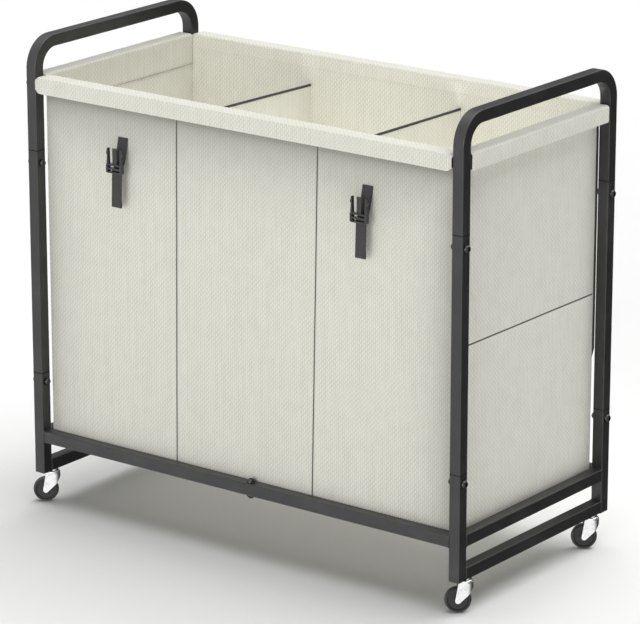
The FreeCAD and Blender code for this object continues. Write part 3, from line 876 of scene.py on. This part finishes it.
def makeStrap(side):
    look = strapLook
    low, high = boxOf(f"{side}_strap")
    x0, x1 = low.x, high.x
    skin = -bagY - look["thick"] / 2 - 0.05
    tail = skin - look["reach"]
    turns = [
        (0, skin, high.z),
        (0, skin, high.z - look["straightTop"]),
        (0, tail + look["backStep"], look["buckleTop"]),
        (0, tail, look["tailStart"]),
        (0, tail, low.z),
    ]
    path = spacedPath(roundedPath(turns, [8.0, 3.0, 3.0]), 2.5)
    shares = np.linspace(0, 1, 9)
    grid, weave, run = [], [], 0.0
    for k, at in enumerate(path):
        run += (at - path[k - 1]).length if k else 0.0
        grid.append([(x0 + s * (x1 - x0), at.y, at.z) for s in shares])
        weave.append([(s * (x1 - x0), run, abs(2 * s - 1) ** 3) for s in shares])
    band = thickSheet(f"{side}StrapWebbing", grid, look["thick"], weave, tapes["webbing"])
    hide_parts(f"{side}_strap")

    # the tail's end is folded back once and sewn
    foldZ = stops(low.z, low.z + look["foldHeight"], 2.5)
    behind = tail + look["thick"]
    grid = [[(x0 + s * (x1 - x0), behind - 0.5 * (z > foldZ[-2]), z) for s in shares] for z in foldZ]
    weave = [[(s * (x1 - x0), z, abs(2 * s - 1) ** 3) for s in shares] for z in foldZ]
    fold = thickSheet(f"{side}StrapFold", grid, look["thick"], weave, tapes["webbing"])
    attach(fold, f"{side}_strap_body")

    front = tail - look["thick"] / 2 - 0.1
    e = look["edge"]
    tailRows = [((x0 + e, front, low.z + z), (x1 - e, front, low.z + z)) for z in (2.5, 8.5)]
    fine = {"length": 1.7, "gap": 0.7, "radius": 0.22}
    sewn = stitchRows(f"{side}TailStitches", tailRows, blackThread, fine)
    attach(sewn, f"{side}_strap_body")

    flat = skin - look["thick"] / 2 - 0.1
    top, foot = high.z - 2.0, high.z - 9.0
    topRows = [((x0 + e, flat, z), (x1 - e, flat, z)) for z in (top, foot)]
    topRows += [((x, flat, foot), (x, flat, top)) for x in (x0 + e, x1 - e)]
    anchor = stitchRows(f"{side}AnchorStitches", topRows, blackThread, fine)
    for piece in (band, anchor):
        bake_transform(piece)


for side in sides:
    makeStrap(side)
print("straps threaded through their buckles")


# Fasteners: button heads with a hex socket on one side of a joint, domed nuts on the other.
boltLook = {
    "radius": 6.0,
    "height": 5.8,
    "socket": 2.2,
    "socketDepth": 2.2,
    "nutRadius": 6.0,
    "nutFlatTop": 2.7,
    "capRadius": 4.9,
    "capHeight": 3.9,
}


def turnedPiece(profile, centre, axis, points, faces, count=24):
    # profile is (radius, height along axis, sides of a polygon or 0 for round)
    axis = Vector(axis)
    aside = axis.orthogonal().normalized()
    other = axis.cross(aside)
    base = len(points)
    for radius, height, flats in profile:
        for k in range(count):
            turn = 2 * math.pi * k / count
            r = radius
            if flats:
                share = (turn % (2 * math.pi / flats)) - math.pi / flats
                r = radius * math.cos(math.pi / flats) / math.cos(share)
            around = aside * math.cos(turn) + other * math.sin(turn)
            points.append(Vector(centre) + axis * height + around * r)
    for r in range(len(profile) - 1):
        a, b = base + r * count, base + (r + 1) * count
        faces += [(a + k, a + (k + 1) % count, b + (k + 1) % count, b + k) for k in range(count)]
    last = base + (len(profile) - 1) * count
    faces += [range(base, base + count), range(last, last + count)]


def domeProfile(radius, height, start, steps=5):
    # from a short rim up over a ball cap to the given radius
    rim = height * 0.3
    rise = height - rim
    ball = (radius ** 2 + rise ** 2) / (2 * rise)
    rings = [(radius - 0.3, 0.0, 0), (radius, 0.3, 0)]
    for k in range(steps + 1):
        r = radius + (start - radius) * k / steps
        rings.append((r, rim + math.sqrt(max(0.0, ball ** 2 - r ** 2)) - (ball - rise), 0))
    return rings


def makeFasteners():
    look = boltLook
    heads, headFaces, nuts, nutFaces = [], [], [], []
    top = 2.5
    head = domeProfile(look["radius"], look["height"], top)
    brim = head[-1][1]
    head += [(look["socket"] + 0.15, brim, 6), (look["socket"], brim - 0.2, 6)]
    head.append((look["socket"] * 0.98, brim - look["socketDepth"], 6))
    rim, flatTop = look["nutRadius"], look["nutFlatTop"]
    nut = [(rim - 0.3, 0.0, 6), (rim, 0.3, 6), (rim, 2.2, 6), (rim - 0.7, flatTop, 0)]
    for turn in np.linspace(0.1, 1.45, 6):
        nut.append((look["capRadius"] * math.cos(turn), flatTop + look["capHeight"] * math.sin(turn), 0))
    for end, side in corners:
        low, high = boxOf(f"{end}_{side}_upright")
        way = sides[side]
        outer, inner = (high.x, low.x) if way > 0 else (low.x, high.x)
        y = (low.y + high.y) / 2
        for z in boltLevels["through"]:
            turnedPiece(head, (outer, y, z), (way, 0, 0), heads, headFaces)
            turnedPiece(nut, (inner, y, z), (-way, 0, 0), nuts, nutFaces)
        if side == "left":
            turnedPiece(head, (outer, y, boltLevels["topRail"]), (way, 0, 0), heads, headFaces)
    for end in ends:
        low, high = boxOf(f"{end}_rail_right")
        y = (low.y + high.y) / 2
        turnedPiece(head, (boltLevels["railSeam"], y, high.z), (0, 0, 1), heads, headFaces)
        turnedPiece(nut, (boltLevels["railSeam"], y, low.z), (0, 0, -1), nuts, nutFaces)
    bolts = makePiece("boltHeads", heads, headFaces, boltCoat, sharp=30)
    domes = makePiece("domedNuts", nuts, nutFaces, boltCoat, sharp=30)
    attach(bolts, mainBody)
    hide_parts("through_bolts", "top_rail_bolts")
    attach(domes, mainBody)
    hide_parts("cap_nuts")


seamLow = boxOf("front_left_leg")[1].z
seamHigh = boxOf("front_left_upright")[1].z
topRailLevel = sum(boxOf("front_top_rail")[k].z for k in (0, 1)) / 2
boltLevels = {"through": (seamLow - 13.5, seamHigh - 19.0), "topRail": topRailLevel, "railSeam": 16.0}
makeFasteners()
print("fasteners turned")


# Joint lines: a near-black band of painted shade for the thin dark gap where one length of upright stands
# on the next.
seamLook = {"high": 1.8, "proud": 0.1, "corner": 1.8}


def makeJointLines():
    look = seamLook
    points, faces = [], []
    for end, side in corners:
        for node in ("leg", "upright"):
            low, high = boxOf(f"{end}_{side}_{node}")
            half = (high.x - low.x) / 2 + look["proud"]
            span = [look["corner"] - half, half - look["corner"]]
            ring = roundedRing(half, half, look["corner"], span, span, 5)[0]
            base, count = len(points), len(ring)
            for z in (high.z - look["high"] / 2, high.z + look["high"] / 2):
                points += [((low.x + high.x) / 2 + a, (low.y + high.y) / 2 + b, z) for a, b in ring]
            for k in range(count):
                m = (k + 1) % count
                faces.append((base + k, base + m, base + count + m, base + count + k))
            faces += [range(base, base + count), range(base + count, base + 2 * count)]
    lines = makePiece("jointLines", points, faces, plastics["gapShade"])
    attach(lines, mainBody)


makeJointLines()
print("joints marked")


# Weld beads where the side bars meet the uprights.
weldLook = {"radius": 1.1, "ripples": 22, "corner": 2.2}


def weldLoop(centre, half, way, points, faces):
    # a rippled bead round the end of a square tube; way points along the tube
    look = weldLook
    span = stops(look["corner"] - half, half - look["corner"], 1.5)
    ring = roundedRing(half, half, look["corner"], span, span, 4)[0]
    way = Vector(way)
    aside = Vector((way.y, way.x, 0))
    base, count, around = len(points), len(ring), 8
    for k, (a, b) in enumerate(ring):
        outward = (aside * a + Vector((0, 0, b))).normalized()
        size = look["radius"] * (1 + 0.12 * math.sin(2 * math.pi * look["ripples"] * k / count))
        at = Vector(centre) + aside * a + Vector((0, 0, b)) + way * 0.1
        for s in range(around):
            turn = 2 * math.pi * s / around
            points.append(at + (outward * math.cos(turn) + way * math.sin(turn)) * size)
    for k in range(count):
        a, b = base + k * around, base + (k + 1) % count * around
        faces += [(a + s, b + s, b + (s + 1) % around, a + (s + 1) % around) for s in range(around)]


def makeWelds():
    points, faces = [], []
    for side in sides:
        for bar in ("lower_bar", "upper_bar", "top_rail"):
            low, high = boxOf(f"{side}_{bar}")
            x, z = (low.x + high.x) / 2, (low.z + high.z) / 2
            for y, way in ((low.y, 1), (high.y, -1)):
                weldLoop((x, y, z), (high.z - low.z) / 2, (0, way, 0), points, faces)
        for end in ends:
            low, high = boxOf(f"{end}_rail_{side}")
            y, z = (low.y + high.y) / 2, (low.z + high.z) / 2
            x = low.x if side == "left" else high.x
            weldLoop((x, y, z), (high.z - low.z) / 2, (-sides[side], 0, 0), points, faces)
    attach(makePiece("weldBeads", points, faces, blackCoat, sharp=80), mainBody)


makeWelds()
print("welds run")


# Finishes on the pieces that stay as they were designed.
def dress(name, finish):
    mesh = cadNodes[name].data
    mesh.materials.clear()
    mesh.materials.append(finish)


for name in cadNodes:
    if any(word in name for word in ("leg", "upright", "rail", "bar", "handle")):
        dress(name, blackCoat)
    elif "fork" in name or "axle" in name or name == "caster_stems":
        dress(name, chrome)
    elif "wheel" in name:
        dress(name, plastics["wheelPlastic"])
    elif "buckle" in name:
        dress(name, plastics["buckleAcetal"])
    elif name in ("joint_spigots", "stem_nuts"):
        dress(name, zinc)
for name in ("leg_end_plugs", "top_rail_plugs"):
    dress(name, plastics["plugPlastic"])
dress("panel_boards", plastics["boardPlastic"])
print("frame and casters finished")


# Floor, light and camera.
studio = {
    "floorRadius": 30.0,
    "floorColour": (0.93, 0.93, 0.93, 1),
    "skyFront": 1.05,
    "skyBack": 0.05,
    "azimuth": 37.18,
    "elevation": 16.94,
    "aim": (0.0081, -0.0044, 0.3284),
    "distance": 5.457,
    "lens": 212.3,
}


def makeFloor():
    shape = bmesh.new()
    bmesh.ops.create_circle(shape, cap_ends=True, segments=96, radius=studio["floorRadius"])
    mesh = bpy.data.meshes.new("studioFloor")
    shape.to_mesh(mesh)
    shape.free()
    finish = Finish("floorPaint", {"Roughness": 0.9, "Specular IOR Level": 0.1})
    speck = finish.cloud(finish.place(), 6.0, 3.0)
    soft = tuple(c * 0.985 for c in studio["floorColour"][:3]) + (1,)
    finish.paint("Base Color", finish.blend(speck, soft, studio["floorColour"]))
    mesh.materials.append(finish.material)
    floor = bpy.data.objects.new("studioFloor", mesh)
    bpy.context.scene.collection.objects.link(floor)
    floor.visible_glossy = False


def makeSky():
    # what the frame and casters mirror: bright from the front, dim from the back right
    world = bpy.data.worlds.new("studioSky")
    bpy.context.scene.world = world
    world.use_nodes = True
    world.cycles_visibility.diffuse = False
    tree = world.node_tree
    back = tree.nodes["Background"]
    place = tree.nodes.new("ShaderNodeTexCoord")
    across = tree.nodes.new("ShaderNodeVectorMath")
    across.operation = "DOT_PRODUCT"
    across.inputs[1].default_value = (0.35, 1.0, 0.0)
    toFront = tree.nodes.new("ShaderNodeMapRange")
    toFront.interpolation_type = "SMOOTHSTEP"
    tree.links.new(place.outputs["Generated"], across.inputs[0])
    tree.links.new(across.outputs["Value"], toFront.inputs["Value"])
    span = {"From Min": 1.0, "From Max": -0.5, "To Min": studio["skyBack"], "To Max": studio["skyFront"]}
    for socket, value in span.items():
        toFront.inputs[socket].default_value = value
    tree.links.new(toFront.outputs[0], back.inputs["Strength"])
    back.inputs["Color"].default_value = (1, 1, 0.995, 1)


# Broad soft lamps: towards is the way from the cart to the lamp, spread its width in degrees.
lamps = {
    "overhead": {"towards": (0.1, 0.15, 1.0), "spread": 70, "power": 2.62},
    "highLeft": {"towards": (-0.8, 0.3, 0.8), "spread": 60, "power": 0.12},
    "highBack": {"towards": (0.2, 1.0, 0.8), "spread": 60, "power": 0.79},
    "midCorner": {"towards": (0.55, -0.9, 0.55), "spread": 50, "power": 0.13},
    "levelFront": {"towards": (0.1, -1.0, 0.1), "spread": 36, "power": 1.45},
}


# Light that comes through the thin cloth into each compartment.
glow = {"places": (-0.25, 0.0, 0.25), "height": 0.4, "size": (0.2, 0.28), "powers": (0.3, 0.45, 0.45)}


def makeGlow():
    for number, x in enumerate(glow["places"]):
        data = bpy.data.lights.new(f"glow{number}", "AREA")
        data.shape = "RECTANGLE"
        data.size, data.size_y = glow["size"]
        data.energy = glow["powers"][number]
        lamp = bpy.data.objects.new(f"glow{number}", data)
        lamp.location = (x, 0, glow["height"])
        lamp.rotation_euler = (math.pi, 0, 0)
        lamp.visible_camera = False
        bpy.context.scene.collection.objects.link(lamp)


def makeLamps():
    for name, look in lamps.items():
        data = bpy.data.lights.new(name, "SUN")
        data.energy = look["power"]
        data.angle = math.radians(look["spread"])
        lamp = bpy.data.objects.new(name, data)
        lamp.rotation_euler = Vector(look["towards"]).to_track_quat("Z", "Y").to_euler()
        bpy.context.scene.collection.objects.link(lamp)


def makeCamera():
    data = bpy.data.cameras.new("camera")
    data.sensor_width = 36.0
    data.lens = studio["lens"]
    data.clip_end = 200
    a, e = math.radians(studio["azimuth"]), math.radians(studio["elevation"])
    back = Vector((math.sin(a) * math.cos(e), -math.cos(a) * math.cos(e), math.sin(e)))
    camera = bpy.data.objects.new("camera", data)
    camera.location = Vector(studio["aim"]) + back * studio["distance"]
    camera.rotation_euler = (-back).to_track_quat("-Z", "Y").to_euler()
    bpy.context.scene.collection.objects.link(camera)
    bpy.context.scene.camera = camera


makeFloor()
makeSky()
makeLamps()
makeGlow()
makeCamera()
bpy.context.scene.view_settings.view_transform = "Standard"
print("studio lit")
